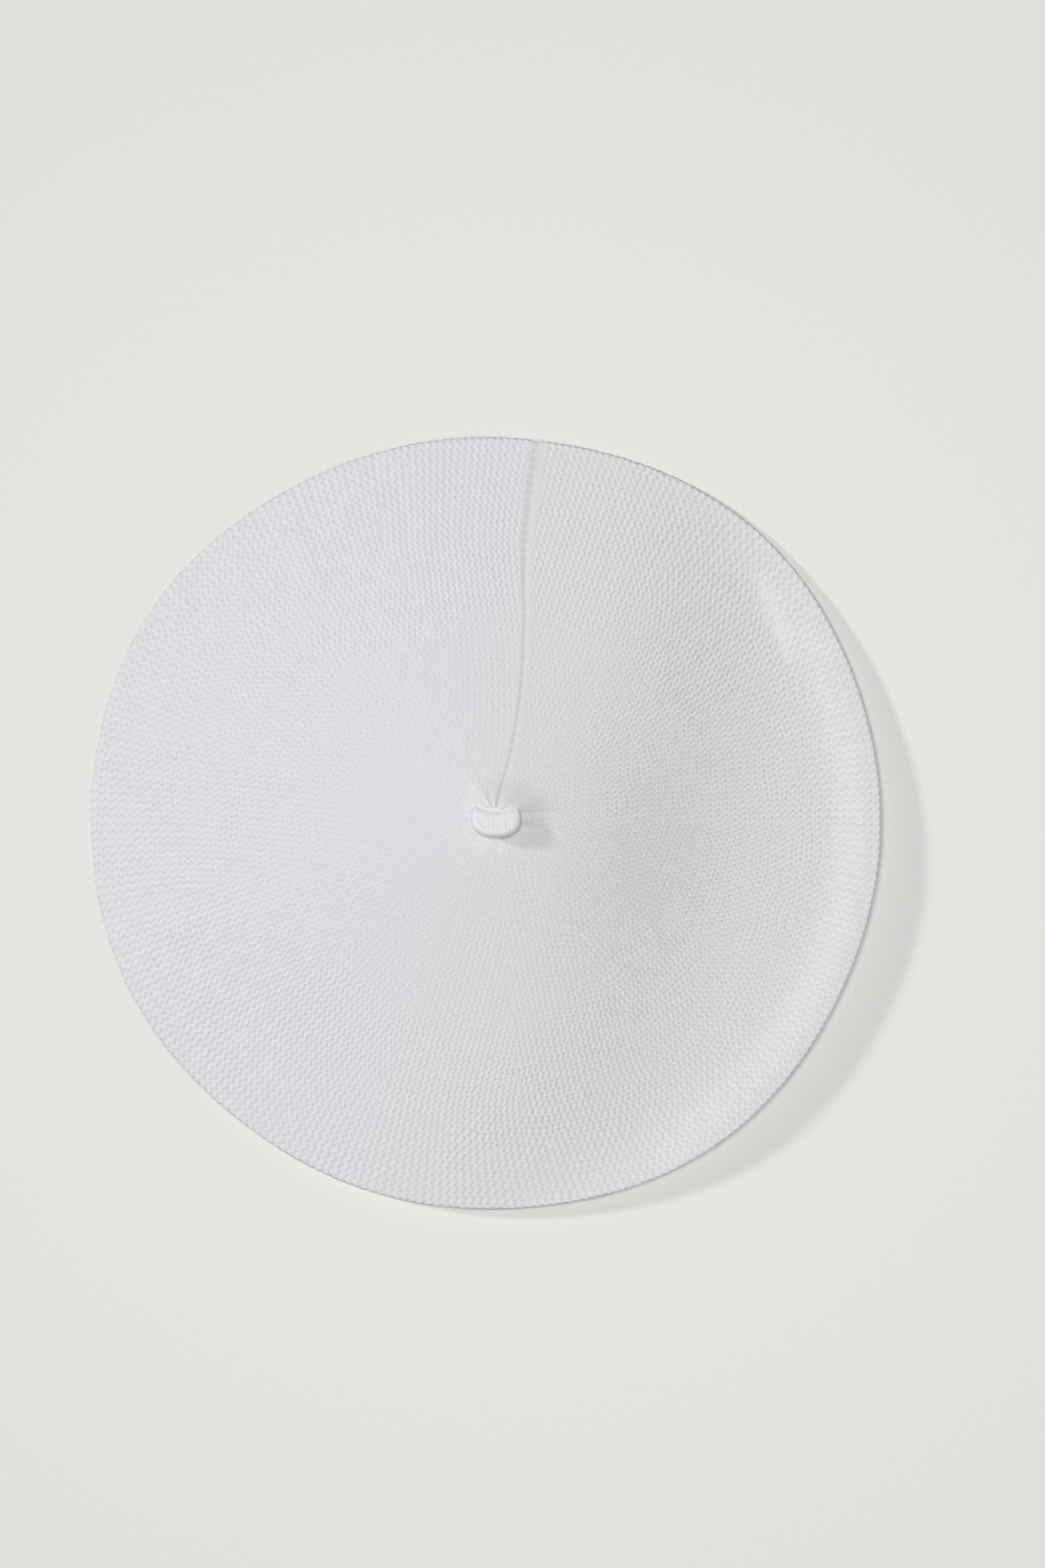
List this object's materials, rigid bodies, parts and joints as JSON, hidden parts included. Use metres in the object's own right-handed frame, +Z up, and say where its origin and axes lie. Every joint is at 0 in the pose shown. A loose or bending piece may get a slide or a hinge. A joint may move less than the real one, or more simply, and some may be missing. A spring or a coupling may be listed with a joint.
{
  "type": "knitted beret",
  "caption": "Round white knitted beret lying flat with its crown up: a seamed soft cap with a short stalk and an elastic hem round the head opening.",
  "frame": {"origin": "on the table under the middle of the beret's outline", "axes": "+Z up out of the crown, +Y towards the radial seam, +X to the right seen from above with the seam at the top"},
  "size_m": [0.2812, 0.2748, 0.0358],
  "materials": {
    "cotton_knit": "matt off-white cotton in a chunky purl knit, with fine fuzz and a soft sheen at grazing angles",
    "sewing_thread": "smooth twisted cotton thread, slightly warmer than the knit",
    "elastic_tape": "flat braided elastic tape with a low satin sheen"
  },
  "bodies": {
    "root": {"knit_body": "cotton_knit", "radial_seam": "cotton_knit", "stalk": "cotton_knit", "head_band": "cotton_knit", "stalk_stitches": "sewing_thread", "hem_stitching": "sewing_thread", "hem_elastic": "elastic_tape"}
  },
  "joints": []
}
